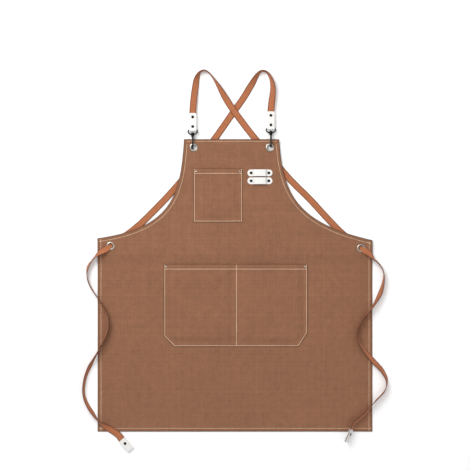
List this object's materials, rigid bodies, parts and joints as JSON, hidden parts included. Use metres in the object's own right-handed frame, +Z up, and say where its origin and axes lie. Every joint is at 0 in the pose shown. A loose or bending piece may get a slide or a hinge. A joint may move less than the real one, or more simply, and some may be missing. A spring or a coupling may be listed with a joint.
{
  "type": "butcher apron",
  "caption": "Canvas cross-back apron lying flat, with pockets, tool loops, grommets, webbing straps, leather tabs and snap hooks.",
  "frame": {"origin": "centre of the apron's footprint without its free straps and ties, on the table it lies on", "axes": "+Z up out of the front face, +Y from the bottom hem to the bib, +X to the right as seen from the front"},
  "size_m": [0.7797, 0.9751, 0.0236],
  "materials": {
    "canvas": "matt plain-woven cotton canvas, brown, with peach thread",
    "webbing": "matt cotton webbing, tan",
    "white_leather": "smooth white leather, satin",
    "black_metal": "black plated zinc and steel, semi-gloss",
    "nickel": "bright nickel plate"
  },
  "bodies": {
    "apron": {"apron_panel": "canvas", "chest_pocket": "canvas", "waist_pocket": "canvas", "upper_tool_loop": "white_leather", "lower_tool_loop": "white_leather", "left_bib_grommet": "nickel", "left_bib_grommet_washer": "nickel", "left_waist_grommet": "nickel", "left_waist_grommet_washer": "nickel", "right_bib_grommet": "nickel", "right_bib_grommet_washer": "nickel", "right_waist_grommet": "nickel", "right_waist_grommet_washer": "nickel", "chest_pocket_rivet_left_cap": "nickel", "waist_pocket_rivet_left_cap": "nickel", "upper_loop_rivet_left_cap": "black_metal", "lower_loop_rivet_left_cap": "black_metal", "left_tie_tip_rivet_cap": "black_metal", "chest_pocket_rivet_left_back": "nickel", "waist_pocket_rivet_left_back": "nickel", "upper_loop_rivet_left_back": "black_metal", "lower_loop_rivet_left_back": "black_metal", "left_tie_tip_rivet_back": "black_metal", "left_clip_eye": "black_metal", "left_strap": "webbing", "left_tie_tip": "white_leather", "chest_pocket_rivet_right_cap": "nickel", "waist_pocket_rivet_right_cap": "nickel", "upper_loop_rivet_right_cap": "black_metal", "lower_loop_rivet_right_cap": "black_metal", "right_tie_tip_rivet_cap": "black_metal", "chest_pocket_rivet_right_back": "nickel", "waist_pocket_rivet_right_back": "nickel", "upper_loop_rivet_right_back": "black_metal", "lower_loop_rivet_right_back": "black_metal", "right_tie_tip_rivet_back": "black_metal", "right_clip_eye": "black_metal", "right_strap": "webbing", "right_tie_tip": "white_leather"},
    "left_tab": {"left_tab_rivet_1_cap": "black_metal", "left_tab_rivet_2_cap": "black_metal", "left_tab_rivet_1_back": "black_metal", "left_tab_rivet_2_back": "black_metal", "left_shoulder_tab": "white_leather"},
    "right_tab": {"right_tab_rivet_1_cap": "black_metal", "right_tab_rivet_2_cap": "black_metal", "right_tab_rivet_1_back": "black_metal", "right_tab_rivet_2_back": "black_metal", "right_shoulder_tab": "white_leather"},
    "left_hook": {"left_clip_hook": "black_metal", "left_clip_gate_pin": "black_metal", "left_clip_gate_spring": "black_metal"},
    "right_hook": {"right_clip_hook": "black_metal", "right_clip_gate_pin": "black_metal", "right_clip_gate_spring": "black_metal"},
    "left_gate": {"left_clip_gate": "black_metal"},
    "right_gate": {"right_clip_gate": "black_metal"}
  },
  "joints": [
    {"name": "left_tab_hinge", "type": "hinge", "parent": "apron", "child": "left_tab", "pos_m": [-0.1078, 0.36065, 0.0085], "axis": [1, 0, 0], "range_deg": [0, 45], "deforming": ["left_strap"]},
    {"name": "left_hook_swivel", "type": "hinge", "parent": "apron", "child": "left_hook", "pos_m": [-0.1078, 0.34995, 0.0085], "axis": [0, 1, 0], "range_deg": [-12, 12]},
    {"name": "left_gate_hinge", "type": "hinge", "parent": "left_hook", "child": "left_gate", "pos_m": [-0.1078, 0.33845, 0.0151], "axis": [1, 0, 0], "range_deg": [0, 15], "stiffness_Nm_per_rad": 0.004, "springref_deg": -34.38, "deforming": ["left_clip_gate_spring"]},
    {"name": "right_tab_hinge", "type": "hinge", "parent": "apron", "child": "right_tab", "pos_m": [0.0915, 0.36475, 0.0085], "axis": [1, 0, 0], "range_deg": [0, 45], "deforming": ["right_strap"]},
    {"name": "right_hook_swivel", "type": "hinge", "parent": "apron", "child": "right_hook", "pos_m": [0.0915, 0.35405, 0.0085], "axis": [0, 1, 0], "range_deg": [-12, 12]},
    {"name": "right_gate_hinge", "type": "hinge", "parent": "right_hook", "child": "right_gate", "pos_m": [0.0915, 0.34255, 0.0151], "axis": [1, 0, 0], "range_deg": [0, 15], "stiffness_Nm_per_rad": 0.004, "springref_deg": -34.38, "deforming": ["right_clip_gate_spring"]}
  ]
}
